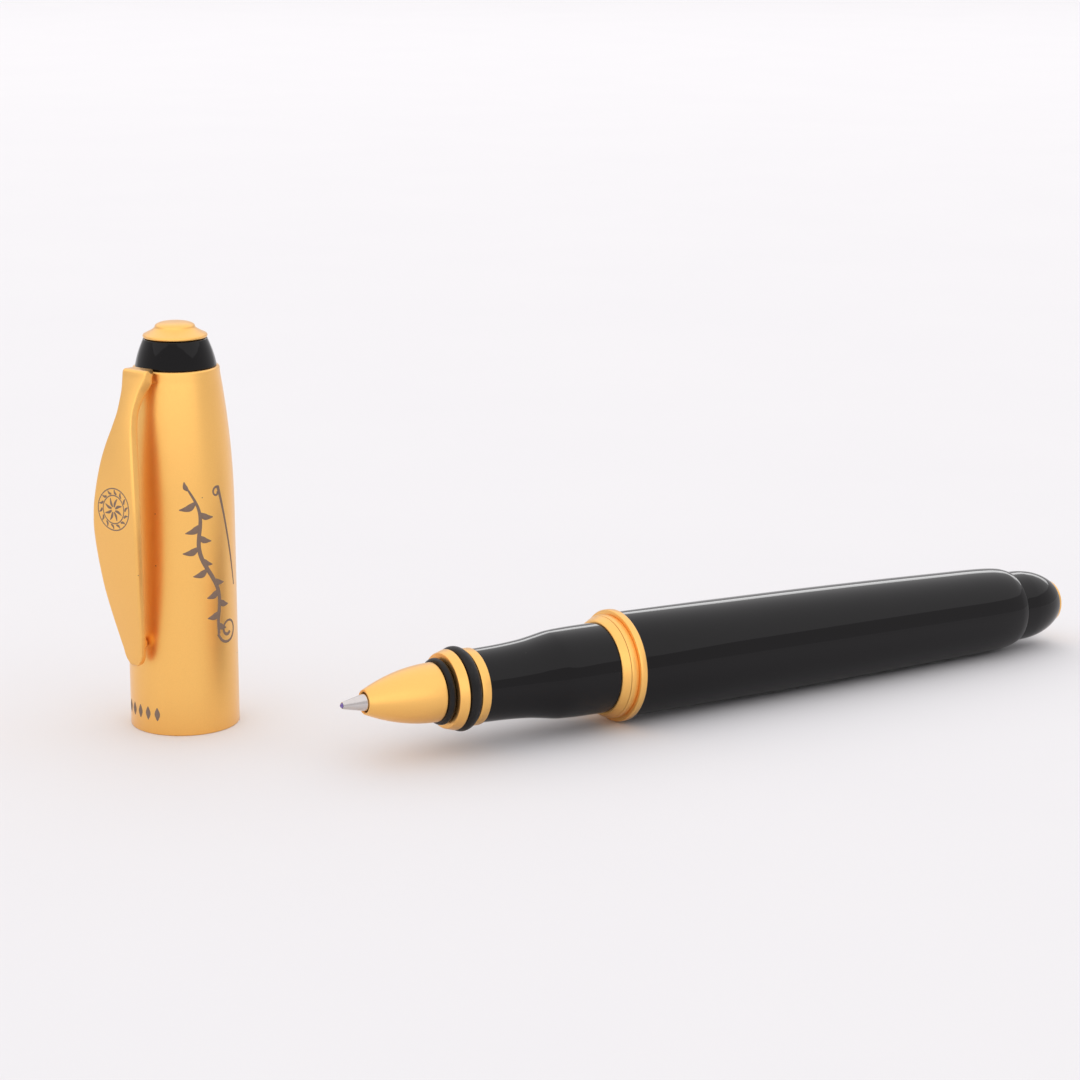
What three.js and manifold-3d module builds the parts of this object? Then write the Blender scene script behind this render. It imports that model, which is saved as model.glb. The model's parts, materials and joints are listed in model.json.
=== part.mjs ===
import * as THREE from 'three';
import Module from 'manifold-3d';
import { mergeVertices } from 'three/addons/utils/BufferGeometryUtils.js';

// A rollerball pen with its cap off. The pen lies on its collar flange and its barrel,
// and the cap stands on its open mouth beside it. Millimetres, +Z up.
// Stations along the pen are measured from the rear face of the collar flange: they are
// negative towards the writing tip. Heights on the cap are measured from its mouth.

// ---- driving dimensions ------------------------------------------------------------

const FIT = 0.06;               // gap left between two pieces that seat on each other
const EDGE = 0.1;               // broken edge on a turned piece
const FINE = 32;                // facets round a piece that shows
const COARSE = 16;              // facets round a piece that stays inside

// refill
const refillLength = 98;
const refillRadius = 3;
const refillTubeWall = 0.6;
const refillTipReach = 3.43;    // ball ahead of the nose cone
const refillNeckRadius = 1.9;
const refillNeckChamfer = 0.4;
const refillFlangeThickness = 0.5;
const refillPlugDepth = 2;
const holderSpigotDepth = 4;
const inkHoleRadius = 0.5;
const steelTipRadius = 1.15;
const steelTipMouth = 0.43;
const steelTipShank = 6.2;
const ballRadius = 0.33;
const ballProtrusion = 0.28;
const ballPlay = 0.04;
const ballInkFeed = 0.4;        // narrow channel behind the ball's socket

// section, from the tip to the collar
const noseLength = 10.2;
const noseRearRadius = 3.91;
const noseFrontRadius = 1.6;
const noseHoleClearance = 0.15;
const noseHoleDepth = 2.4;
const frontSealWidth = 1.2;
const frontRingWidth = 1.4;
const frontRingSmallStep = 0.9; // trim rings' radii above the core
const frontRingLargeStep = 1.27;
const rearSealWidth = 1.6;
const rearRingWidth = 1.6;
const rearRingStep = 1.05;
const gripLength = 19.4;
const gripFrontWall = 0.82;
const gripRearWall = 2.05;
const gripWaist = [             // from its front end: back along the grip, and up
  { back: 4.3, rise: 0.12 },
  { back: 7.8, rise: 0.37 },
  { back: 10.3, rise: 0.74 },
];
const gripFlare = [             // from its rear end: forward along the grip, and down
  { ahead: 7.1, drop: 0.18 },
  { ahead: 4.1, drop: 0.04 },
];
const lipWidth = 1.1;
const lipStep = 0.25;           // lip above the rear of the grip
const lipBevel = 0.35;
const flangeWidth = 1.05;
const flangeStep = 0.52;        // flange above the barrel
const flangeRounding = 0.25;
const bandWidth = 1.05;
const bandStep = 0.6;           // band below the flange

// core tube inside the section
const refillPlay = 0.2;
const spigotRadius = 3.25;
const spigotLength = 2.5;       // reach of the core into the nose cone
const coreWall = 0.85;
const threadStep = 0.85;
const threadLength = 6;

// barrel
const bushWall = 1.2;
const bushLength = 9;
const barrelFrontWall = 0.86;
const barrelTaper = 0.8;
const barrelWall = 1;
const barrelEndWall = 3.3;
const barrelChamfer = 0.15;
const barrelShoulder = [        // from the barrel's rear end: forward along it, and down
  { ahead: 9.3, drop: 0 },
  { ahead: 6.3, drop: 0.08 },
  { ahead: 3.3, drop: 0.22 },
  { ahead: 1.2, drop: 0.45 },
  { ahead: 0, drop: 0.8 },
];
const springLength = 7.6;
const springRadius = 2.2;
const springWire = 0.25;
const springTurns = 6;

// tail
const tailLength = 7.9;
const tailRadius = 5.1;
const tailEndRadius = 3.35;
const tailFrontStep = 0.15;
const tailSpigotRadius = 2.94;
const screwRadius = 1.24;
const screwHeadRadius = 4.3;
const screwHeadThickness = 1.2;
const discRadius = 3.15;
const discThickness = 0.75;
const discProud = 0.5;

// cap
const capPlay = 0.2;            // cap bore round the collar lip
const capWall = 0.7;
const capHeadroom = 8.57;       // shell above the ball when the cap is on
const capWaistDrop = 0.04;      // the shell's straight side draws in this much
const capShoulderLength = 19.5;
const capShoulderDrop = 1.64;
const capTopPlate = 2.3;
const capUpperBoreDrop = 1.35;
const linerLength = 21;
const linerRise = 6;            // liner's top above the foot of the shoulder
const linerPlay = 0.04;
const crownHeight = 3.62;
const crownRadius = 5.34;
const crownTopRadius = 4.15;
const crownBulge = 0.12;
const crownSpigotRadius = 3.5;
const finialRadius = 4.22;
const finialEdge = 0.5;
const finialShelf = 0.3;
const finialScrewRoof = 0.3;
const buttonRadius = 2.62;
const buttonHeight = 0.95;
const buttonDome = 0.65;
const capScrewDepth = 1.1;

// clip
const clipDirection = 202;      // degrees round the cap from the pen's axis
const clipLength = 38.8;
const clipDepth = 1.5;
const clipTabThickness = 0.75;
const clipTabCorner = 0.6;
const clipTabMargin = 0.85;     // tab's inner end outside the crown's spigot
const clipTabHalf = 1.2;        // half the tab's width at its inner end
const clipTabRise = 0.55;       // its bend's height above the cap's top
const clipSlotHalf = 1.8;
const clipSlotEnd = 0.45;
const clipSlotDepth = 1.5;
const clipTipRounding = 0.6;
const clipTipHalf = 0.5;
const clipNubRadius = 1.1;
const clipNubAboveTip = 2.9;
// Outer face of the clip: below the cap's top, beyond the cap's side, and half its width.
const clipFace = [
  { below: 0.5, beyond: 0.75, half: 2.05 },
  { below: 1.3, beyond: 1.15, half: 1.75 },
  { below: 3.6, beyond: 2.1, half: 1.3 },
  { below: 6.3, beyond: 3.1, half: 1.62 },
  { below: 11, beyond: 4.33, half: 2.86 },
  { below: 16.9, beyond: 5.03, half: 3.72 },
  { below: 21.5, beyond: 4.95, half: 3.76 },
  { below: 28.4, beyond: 4.08, half: 3.1 },
  { below: 35.2, beyond: 2.7, half: 1.92 },
];

// where the cap stands, seen from the collar flange
const capAlong = -50;
const capAside = 29.6;

// ---- stations and radii that follow ------------------------------------------------

const flangeRear = 0;
const bandRear = flangeRear - flangeWidth;
const capSeat = bandRear - bandWidth;
const gripRear = capSeat - lipWidth;
const gripFront = gripRear - gripLength;
const rearRingFront = gripFront - rearRingWidth;
const rearSealFront = rearRingFront - rearSealWidth;
const frontRingFront = rearSealFront - frontRingWidth;
const noseRear = frontRingFront - frontSealWidth;
const noseFront = noseRear - noseLength;
const coreFront = noseRear - spigotLength;
const ballFront = noseFront - refillTipReach;
const ballCentre = ballFront + ballRadius;
const tipMouth = ballFront + ballProtrusion;

const coreBore = refillRadius + refillPlay;
const neckBore = refillNeckRadius + refillPlay;
const coreRadius = coreBore + coreWall;
const threadRadius = coreRadius + threadStep;
const bushBore = threadRadius + FIT;
const bushRadius = bushBore + bushWall;
const barrelFrontBore = bushRadius + FIT;
const barrelRadius = barrelFrontBore + barrelFrontWall;
const barrelRearRadius = barrelRadius - barrelTaper;
const barrelBore = barrelRearRadius - barrelWall;
const flangeRadius = barrelRadius + flangeStep;
const bandRadius = flangeRadius - bandStep;
const gripRadius = coreRadius + gripRearWall;
const lipRadius = gripRadius + lipStep;

const refillStep = rearSealFront + rearSealWidth;
const refillRear = ballFront + refillLength;
const springFront = refillRear + FIT;
const screwHeadFront = springFront + springLength;
const barrelInnerEnd = screwHeadFront + screwHeadThickness + FIT;
const barrelEnd = barrelInnerEnd + barrelEndWall;
const tailEnd = barrelEnd + FIT + tailLength;

const frontRingSmall = coreRadius + frontRingSmallStep;
const frontRingLarge = coreRadius + frontRingLargeStep;
const rearRingRadius = coreRadius + rearRingStep;
const capBore = lipRadius + capPlay;
const capRadius = capBore + capWall;
const capTop = capSeat - ballFront + capHeadroom;
const capShoulder = capTop - capShoulderLength;
const capWaist = capRadius - capWaistDrop;
const capTopRadius = capWaist - capShoulderDrop;
const capPlateBottom = capTop - capTopPlate;
const rearSealRadius = coreRadius + rearSealWidth;
const linerBore = rearSealRadius + linerPlay;
const linerTop = capShoulder + linerRise;
const upperBore = capBore - capUpperBoreDrop;
const crownFoot = capTop + FIT;
const crownTop = crownFoot + crownHeight;
const finialFoot = crownTop + FIT;
const finialNeck = finialFoot + finialEdge;
const finialScrewTop = finialNeck + buttonHeight - finialScrewRoof;
const buttonTop = finialNeck + buttonHeight + buttonDome;
const clipTip = capTop - clipLength;
const clipTabInner = crownSpigotRadius + clipTabMargin;

// ---- shape helpers -----------------------------------------------------------------

const point = (along, radius) => new THREE.Vector2(radius, along);

function closedOutline(points) {
  const area = THREE.ShapeUtils.area(points);
  const ordered = area > 0 ? points.slice() : points.slice().reverse();
  return ordered.concat(ordered[0].clone());
}

// A piece turned about the Y axis: its outline is a closed loop of points.
function turned(points, facets) {
  return new THREE.LatheGeometry(closedOutline(points), facets);
}

// A solid turned piece: its outline runs from the axis to the axis, rising.
function turnedSolid(points, facets) {
  return new THREE.LatheGeometry(points, facets);
}

function tube(from, to, inner, outer, facets) {
  const section = [point(from, inner), point(from, outer), point(to, outer), point(to, inner)];
  return turned(section, facets);
}

function arc(along, radius, size, fromDegrees, toDegrees, steps) {
  return Array.from({ length: steps + 1 }, (unused, step) => {
    const angle = THREE.MathUtils.degToRad(fromDegrees + (toDegrees - fromDegrees) * step / steps);
    return point(along + size * Math.cos(angle), radius + size * Math.sin(angle));
  });
}

function smooth(points, steps) {
  return new THREE.SplineCurve(points).getPoints(steps);
}

function sealRing(front, width, inner) {
  const size = width / 2 - FIT;
  return turned(arc(front + width / 2, inner + FIT + size, size, 0, 315, 7), FINE);
}

function solid(wasm, geometry) {
  const bare = geometry.clone();
  bare.deleteAttribute('normal');
  bare.deleteAttribute('uv');
  const merged = mergeVertices(bare, 1e-4);
  return new wasm.Manifold(new wasm.Mesh({
    numProp: 3,
    vertProperties: new Float32Array(merged.attributes.position.array),
    triVerts: new Uint32Array(merged.index.array),
  }));
}

function geometryOf(manifold) {
  const mesh = manifold.getMesh();
  const geometry = new THREE.BufferGeometry();
  geometry.setAttribute('position', new THREE.BufferAttribute(mesh.vertProperties, 3));
  geometry.setIndex(new THREE.BufferAttribute(mesh.triVerts, 1));
  geometry.computeVertexNormals();
  return geometry;
}

// ---- finishes ----------------------------------------------------------------------

const finishes = {
  satinGold: { color: 0xe9b25f, roughness: 0.38, metalness: 1 },
  blackLacquer: { color: 0x0b0a0c, roughness: 0.08, metalness: 0 },
  rubber: { color: 0x141314, roughness: 0.75, metalness: 0 },
  steel: { color: 0xb4b6bd, roughness: 0.25, metalness: 1 },
  brass: { color: 0xc79d4a, roughness: 0.35, metalness: 1 },
  blackPlastic: { color: 0x1b1a1c, roughness: 0.5, metalness: 0 },
  clearPlastic: { color: 0xdfe2e6, roughness: 0.3, metalness: 0 },
  ballCarbide: { color: 0x6a62a8, roughness: 0.2, metalness: 1 },
};

function piece(name, finish, geometry) {
  const mesh = new THREE.Mesh(geometry, new THREE.MeshStandardMaterial(finishes[finish]));
  mesh.name = name;
  return mesh;
}

// ---- section -----------------------------------------------------------------------

function noseCone() {
  const hole = steelTipRadius + noseHoleClearance;
  const drop = noseRearRadius - noseFrontRadius;
  const ogive = [0, 0.12, 0.26, 0.42, 0.6, 0.8, 1].map((share) => {
    const back = (1 - share) ** 2;
    return point(noseFront + share * noseLength, noseRearRadius - drop * back);
  });
  return turned([
    point(noseFront, hole),
    ...ogive,
    point(noseRear, spigotRadius + FIT),
    point(coreFront - FIT, spigotRadius + FIT),
    point(coreFront - FIT, neckBore),
    point(noseFront + noseHoleDepth, neckBore),
    point(noseFront + noseHoleDepth, hole),
  ], FINE);
}

function frontRing() {
  return turned([
    point(frontRingFront, spigotRadius + FIT),
    point(frontRingFront, frontRingSmall),
    point(rearSealFront - 2 * EDGE, frontRingLarge),
    point(rearSealFront, frontRingLarge - EDGE),
    point(rearSealFront, spigotRadius + FIT),
  ], FINE);
}

function gripSleeve() {
  const front = coreRadius + gripFrontWall;
  const outside = smooth([
    point(gripFront + FIT, front),
    ...gripWaist.map(({ back, rise }) => point(gripFront + back, front + rise)),
    ...gripFlare.map(({ ahead, drop }) => point(gripRear - ahead, gripRadius - drop)),
    point(gripRear - FIT, gripRadius),
  ], 14);
  return turned([
    point(gripFront + FIT, coreRadius + FIT),
    ...outside,
    point(gripRear - FIT, coreRadius + FIT),
  ], FINE);
}

function collarLip() {
  return turned([
    point(gripRear, coreRadius + FIT),
    point(gripRear, lipRadius - EDGE),
    point(gripRear + EDGE, lipRadius),
    point(capSeat - FIT, lipRadius + lipBevel),
    point(capSeat - FIT, coreRadius + FIT),
  ], FINE);
}

function collarFlange() {
  const rearEdge = arc(flangeRear - flangeRounding, flangeRadius - flangeRounding,
    flangeRounding, 90, 0, 3);
  const frontEdge = arc(bandRear + flangeRounding, flangeRadius - flangeRounding,
    flangeRounding, 180, 90, 3);
  return turned([
    point(capSeat, coreRadius + FIT),
    point(capSeat, bandRadius - EDGE),
    point(capSeat + EDGE, bandRadius),
    point(bandRear, bandRadius),
    ...frontEdge,
    ...rearEdge,
    point(flangeRear, coreRadius + FIT),
  ], FINE);
}

function sectionCore() {
  const threadFront = flangeRear + FIT;
  return turned([
    point(coreFront, neckBore),
    point(coreFront, spigotRadius),
    point(rearSealFront + FIT, spigotRadius),
    point(rearSealFront + FIT, coreRadius),
    point(threadFront, coreRadius),
    point(threadFront, threadRadius),
    point(threadFront + threadLength, threadRadius),
    point(threadFront + threadLength, coreBore),
    point(refillStep, coreBore),
    point(refillStep, neckBore),
  ], COARSE);
}

// ---- refill ------------------------------------------------------------------------

function refillTip() {
  const socketEnd = tipMouth + ballRadius * 2;
  return turned([
    point(tipMouth, ballRadius + ballPlay),
    point(tipMouth, steelTipMouth),
    point(noseFront, steelTipRadius),
    point(noseFront + steelTipShank, steelTipRadius),
    point(noseFront + steelTipShank, inkHoleRadius),
    point(noseFront, inkHoleRadius),
    point(socketEnd + ballInkFeed, ballRadius / 2),
    point(socketEnd, ballRadius / 2),
    point(socketEnd, ballRadius + ballPlay),
  ], COARSE);
}

function refillHolder() {
  const neckFront = noseFront + noseHoleDepth + refillPlay;
  const flangeFront = refillStep + FIT;
  const flangeBack = flangeFront + refillFlangeThickness;
  const spigot = refillRadius - refillTubeWall - FIT;
  return turned([
    point(neckFront, steelTipRadius + FIT),
    point(neckFront, refillNeckRadius - refillNeckChamfer),
    point(neckFront + refillNeckChamfer, refillNeckRadius),
    point(flangeFront, refillNeckRadius),
    point(flangeFront, refillRadius),
    point(flangeBack, refillRadius),
    point(flangeBack, spigot),
    point(flangeBack + holderSpigotDepth, spigot),
    point(flangeBack + holderSpigotDepth, inkHoleRadius),
    point(noseFront + steelTipShank + FIT, inkHoleRadius),
    point(noseFront + steelTipShank + FIT, steelTipRadius + FIT),
  ], COARSE);
}

function refillTube() {
  const front = refillStep + FIT + refillFlangeThickness + FIT;
  const rear = refillRear - refillFlangeThickness - FIT;
  return tube(front, rear, refillRadius - refillTubeWall, refillRadius, COARSE);
}

function refillPlug() {
  const flange = refillRear - refillFlangeThickness;
  const inside = refillRadius - refillTubeWall - FIT;
  return turnedSolid([
    point(flange - refillPlugDepth, 0),
    point(flange - refillPlugDepth, inside),
    point(flange, inside),
    point(flange, refillRadius),
    point(refillRear, refillRadius),
    point(refillRear, 0),
  ], COARSE);
}

class Helix extends THREE.Curve {
  constructor(from, to, radius, turns) {
    super();
    Object.assign(this, { from, to, radius, turns });
  }

  getPoint(share, target = new THREE.Vector3()) {
    const angle = share * this.turns * 2 * Math.PI;
    const along = this.from + (this.to - this.from) * share;
    return target.set(this.radius * Math.sin(angle), along, this.radius * Math.cos(angle));
  }
}

function refillSpring() {
  const path = new Helix(springFront + springWire + FIT, screwHeadFront - springWire - FIT,
    springRadius, springTurns);
  const wire = new THREE.Shape().absarc(0, 0, springWire, 0, 2 * Math.PI);
  return new THREE.ExtrudeGeometry(wire, {
    extrudePath: path,
    steps: springTurns * 16,
    curveSegments: 3,
  });
}

// ---- barrel ------------------------------------------------------------------------

const barrelFront = flangeRear + 2 * FIT;
const barrelStraight = barrelEnd - barrelShoulder[0].ahead;
const barrelOutside = [
  point(barrelFront, barrelRadius - barrelChamfer),
  point(barrelFront + barrelChamfer, barrelRadius),
  ...[0.25, 0.5, 0.75].map((share) => (
    point(barrelFront + share * (barrelStraight - barrelFront), barrelRadius - barrelTaper * share ** 2)
  )),
  ...smooth(barrelShoulder.map(
    ({ ahead, drop }) => point(barrelEnd - ahead, barrelRearRadius - drop),
  ), 8),
];

function barrelShell() {
  const bushEnd = barrelFront + bushLength + FIT;
  return turned([
    point(barrelFront, barrelFrontBore),
    ...barrelOutside,
    point(barrelEnd, tailSpigotRadius + FIT),
    point(barrelInnerEnd, tailSpigotRadius + FIT),
    point(barrelInnerEnd, barrelBore),
    point(bushEnd, barrelBore),
    point(bushEnd, barrelFrontBore),
  ], FINE);
}

function barrelBush() {
  const front = barrelFront + FIT;
  return tube(front, front + bushLength - FIT, bushBore, bushRadius, COARSE * 2);
}

function tailPiece() {
  const front = barrelEnd + FIT;
  const recess = discRadius + FIT;
  const start = front + tailFrontStep;
  const outside = [0, 0.3, 0.45, 0.58, 0.7, 0.8, 0.9, 1].map((share) => {
    const drop = (tailRadius - tailEndRadius) * share ** 3;
    return point(start + (tailEnd - start) * share, tailRadius - drop);
  });
  return turned([
    point(barrelInnerEnd + FIT, screwRadius + FIT),
    point(barrelInnerEnd + FIT, tailSpigotRadius),
    point(front, tailSpigotRadius),
    point(front, tailRadius - tailFrontStep),
    ...outside,
    point(tailEnd, recess),
    point(tailEnd - discThickness + discProud - FIT, recess),
    point(tailEnd - discThickness + discProud - FIT, screwRadius + FIT),
  ], FINE);
}

function tailDisc() {
  const front = tailEnd + discProud - discThickness;
  return turnedSolid([
    point(front, 0),
    point(front, discRadius),
    point(front + discThickness - EDGE, discRadius),
    point(front + discThickness, discRadius - EDGE),
    point(front + discThickness, 0),
  ], FINE);
}

function tailScrew() {
  const headBack = screwHeadFront + screwHeadThickness;
  const end = tailEnd - discThickness + discProud - 2 * FIT;
  return turnedSolid([
    point(screwHeadFront, 0),
    point(screwHeadFront, screwHeadRadius - EDGE),
    point(screwHeadFront + EDGE, screwHeadRadius),
    point(headBack, screwHeadRadius),
    point(headBack, screwRadius),
    point(end, screwRadius),
    point(end, 0),
  ], COARSE);
}

// ---- cap ---------------------------------------------------------------------------

// Radius of the shell at a height: straight, then drawn in by a long even curve.
function shellRadius(height) {
  const above = Math.max(0, height - capShoulder) / capShoulderLength;
  const side = capRadius - capWaistDrop * Math.min(1, height / capShoulder);
  return side - capShoulderDrop * above ** 2;
}

function capShell(wasm) {
  const shoulder = [0, 0.2, 0.4, 0.55, 0.7, 0.85, 0.97].map((share) => {
    const height = capShoulder + share * capShoulderLength;
    return point(height, shellRadius(height));
  });
  const body = turned([
    point(0, capBore),
    point(0, capRadius - EDGE),
    point(EDGE, capRadius),
    ...shoulder,
    point(capTop, capTopRadius - 2 * EDGE),
    point(capTop, crownSpigotRadius + FIT),
    point(capPlateBottom, crownSpigotRadius + FIT),
    point(capPlateBottom, upperBore),
    point(linerTop, upperBore),
    point(linerTop, capBore),
  ], FINE);
  body.rotateX(Math.PI / 2);
  const slotLength = capRadius - clipTabInner + clipSlotEnd;
  const slot = new THREE.BoxGeometry(slotLength, 2 * clipSlotHalf, 2 * clipSlotDepth);
  slot.translate(clipTabInner - clipSlotEnd + slotLength / 2, 0, capTop);
  return geometryOf(solid(wasm, body).subtract(solid(wasm, slot)));
}

function capLiner() {
  const foot = linerTop - linerLength;
  return tube(foot, linerTop - FIT, linerBore, capBore - FIT, FINE);
}

function crownRing() {
  const outside = [0, 0.25, 0.5, 0.75, 1].map((share) => {
    const straight = THREE.MathUtils.lerp(crownRadius, crownTopRadius, share);
    return point(crownFoot + share * crownHeight, straight + crownBulge * Math.sin(share * Math.PI));
  });
  return turned([
    point(capPlateBottom + 2 * FIT, screwRadius + FIT),
    point(capPlateBottom + 2 * FIT, crownSpigotRadius),
    point(crownFoot, crownSpigotRadius),
    ...outside,
    point(crownTop, screwRadius + FIT),
  ], FINE);
}

function finial() {
  const halfEdge = finialEdge / 2;
  const rim = arc(finialFoot + halfEdge, finialRadius - halfEdge, halfEdge, 180, 0, 5);
  const shelf = finialRadius - finialShelf;
  const cove = [0, 0.35, 0.7, 1].map((share) => (
    point(finialNeck + buttonHeight * share, buttonRadius + (shelf - buttonRadius) * (1 - share) ** 2)
  ));
  const dome = [0.25, 0.5, 0.75, 1].map((share) => {
    const angle = share * Math.PI / 2;
    const height = finialNeck + buttonHeight + buttonDome * Math.sin(angle);
    return point(height, buttonRadius * Math.cos(angle));
  });
  dome.at(-1).x = 0;
  return turned([
    point(finialFoot, screwRadius + FIT),
    ...rim,
    ...cove,
    ...dome,
    point(finialScrewTop, 0),
    point(finialScrewTop, screwRadius + FIT),
  ], FINE);
}

function capScrew() {
  const headTop = capPlateBottom - FIT;
  const end = finialScrewTop - FIT;
  return turnedSolid([
    point(headTop - capScrewDepth, 0),
    point(headTop - capScrewDepth, screwHeadRadius - EDGE),
    point(headTop - capScrewDepth + EDGE, screwHeadRadius),
    point(headTop, screwHeadRadius),
    point(headTop, screwRadius),
    point(end, screwRadius),
    point(end, 0),
  ], COARSE);
}

// ---- clip: its side outline cut by its front outline ---------------------------------

function clip(wasm) {
  const top = capTop - FIT;
  const outside = clipFace.map(({ below, beyond }) => (
    new THREE.Vector2(capRadius + beyond, capTop - below)
  ));
  const root = outside[0].x;
  const tipOut = outside.at(-1).x - clipTipRounding;
  const outer = smooth([...outside, new THREE.Vector2(tipOut, clipTip)], 22);
  const inner = smooth([
    new THREE.Vector2(tipOut - clipDepth + clipTipRounding, clipTip + EDGE),
    ...outside.slice(1).reverse().map(({ x, y }) => new THREE.Vector2(x - clipDepth, y - 3 * EDGE)),
    new THREE.Vector2(root - clipDepth, top - clipTabThickness - clipTabCorner),
    new THREE.Vector2(root - clipDepth - clipTabCorner, top - clipTabThickness),
  ], 22);
  const side = new THREE.Shape([
    new THREE.Vector2(clipTabInner, top - clipTabThickness),
    new THREE.Vector2(clipTabInner, top),
    new THREE.Vector2(crownRadius + EDGE, top),
    new THREE.Vector2(crownRadius + clipTabCorner, top + clipTabRise),
    new THREE.Vector2(root - clipTabCorner, top + clipTabRise),
    new THREE.Vector2(root - clipTabCorner / 4, top + clipTabRise - clipTabCorner / 3),
    ...outer,
    ...inner,
  ]);
  const right = smooth([
    ...clipFace.map(({ below, half }) => new THREE.Vector2(half, capTop - below)),
    new THREE.Vector2(2 * clipTipHalf, clipTip + clipTipRounding),
    new THREE.Vector2(clipTipHalf, clipTip),
  ], 26);
  const left = right.map(({ x, y }) => new THREE.Vector2(-x, y)).reverse();
  const front = new THREE.Shape([
    new THREE.Vector2(-right[0].x, capTop + clipTabCorner),
    new THREE.Vector2(right[0].x, capTop + clipTabCorner),
    ...right,
    ...left,
  ]);

  const deep = 4 * capRadius;
  const sideSolid = new THREE.ExtrudeGeometry(side, { depth: deep, bevelEnabled: false });
  sideSolid.translate(0, 0, -deep / 2);
  sideSolid.rotateX(Math.PI / 2);
  const frontSolid = new THREE.ExtrudeGeometry(front, { depth: deep, bevelEnabled: false });
  frontSolid.rotateX(Math.PI / 2);
  frontSolid.rotateZ(Math.PI / 2);
  const nubHeight = clipTip + clipNubAboveTip;
  const nub = new THREE.SphereGeometry(clipNubRadius, 14, 10);
  nub.translate(shellRadius(nubHeight) + FIT + clipNubRadius, 0, nubHeight);
  const blade = solid(wasm, sideSolid).intersect(solid(wasm, frontSolid));

  // The tab narrows from its bend to its inner end: a wedge comes off each side.
  const wedge = new THREE.Shape([
    new THREE.Vector2(clipTabInner - 1, clipTabHalf),
    new THREE.Vector2(clipTabInner, clipTabHalf),
    new THREE.Vector2(root - clipTabCorner, clipFace[0].half),
    new THREE.Vector2(root - clipTabCorner, clipFace[0].half + 1),
    new THREE.Vector2(clipTabInner - 1, clipFace[0].half + 1),
  ]);
  const wedgeSolid = new THREE.ExtrudeGeometry(wedge, {
    depth: 2 * clipSlotDepth,
    bevelEnabled: false,
  });
  wedgeSolid.translate(0, 0, capTop - clipSlotDepth);
  const cut = solid(wasm, wedgeSolid);
  const narrowed = blade.subtract(cut).subtract(cut.mirror([0, 1, 0]));
  return geometryOf(narrowed.add(solid(wasm, nub)));
}

// ---- how the pen lies ----------------------------------------------------------------

// The table line touches the flange's rear edge and the first barrel point that it meets.
const flangeContact = flangeRear - flangeRounding;
const restTilt = Math.min(...barrelOutside.slice(2).map(
  (edge) => Math.atan2(flangeRadius - edge.x, edge.y - flangeContact),
));
const penHeight = flangeRadius * Math.cos(restTilt) + flangeContact * Math.sin(restTilt);

// ---- assembly ------------------------------------------------------------------------

const wasm = await Module();
wasm.setup();

const penPieces = new THREE.Group();
penPieces.rotation.z = -Math.PI / 2;
penPieces.add(
  piece('nose_cone', 'satinGold', noseCone()),
  piece('front_seal_ring', 'rubber', sealRing(noseRear, frontSealWidth, spigotRadius)),
  piece('front_trim_ring', 'satinGold', frontRing()),
  piece('rear_seal_ring', 'rubber', sealRing(rearSealFront, rearSealWidth, coreRadius)),
  piece('rear_trim_ring', 'satinGold',
    tube(rearRingFront, gripFront, coreRadius + FIT, rearRingRadius, FINE)),
  piece('grip_sleeve', 'blackLacquer', gripSleeve()),
  piece('collar_lip', 'satinGold', collarLip()),
  piece('collar_flange', 'satinGold', collarFlange()),
  piece('section_core', 'brass', sectionCore()),
  piece('refill_tip', 'steel', refillTip()),
  piece('refill_holder', 'blackPlastic', refillHolder()),
  piece('refill_tube', 'clearPlastic', refillTube()),
  piece('refill_plug', 'blackPlastic', refillPlug()),
  piece('refill_spring', 'steel', refillSpring()),
  piece('barrel_shell', 'blackLacquer', barrelShell()),
  piece('barrel_bush', 'brass', barrelBush()),
  piece('tail_piece', 'blackLacquer', tailPiece()),
  piece('tail_disc', 'satinGold', tailDisc()),
  piece('tail_screw', 'steel', tailScrew()),
);
const ball = piece('writing_ball', 'ballCarbide', new THREE.SphereGeometry(ballRadius, 16, 10));
ball.position.y = ballCentre;
penPieces.add(ball);

const pen = new THREE.Group();
pen.add(penPieces);
pen.rotation.y = restTilt;
pen.position.z = penHeight;

const capPieces = new THREE.Group();
capPieces.rotation.x = Math.PI / 2;
capPieces.add(
  piece('cap_liner', 'blackPlastic', capLiner()),
  piece('crown_ring', 'blackLacquer', crownRing()),
  piece('finial', 'satinGold', finial()),
  piece('cap_screw', 'steel', capScrew()),
);

const cap = new THREE.Group();
cap.add(
  capPieces,
  piece('cap_shell', 'satinGold', capShell(wasm)),
  piece('clip', 'satinGold', clip(wasm)),
);
cap.rotation.z = THREE.MathUtils.degToRad(clipDirection);
cap.position.set(capAlong, capAside, 0);

const rollerballPen = new THREE.Group();
rollerballPen.add(pen, cap);
rollerballPen.updateMatrixWorld(true);

// The origin is on the table, under the middle of the whole object.
const extent = new THREE.Box3().setFromObject(rollerballPen, true);
const middle = extent.getCenter(new THREE.Vector3());
rollerballPen.position.set(-middle.x, -middle.y, -extent.min.z);

export default rollerballPen;
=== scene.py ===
import json
import math

import bmesh
import bpy
from mathutils import Matrix, Vector


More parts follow.
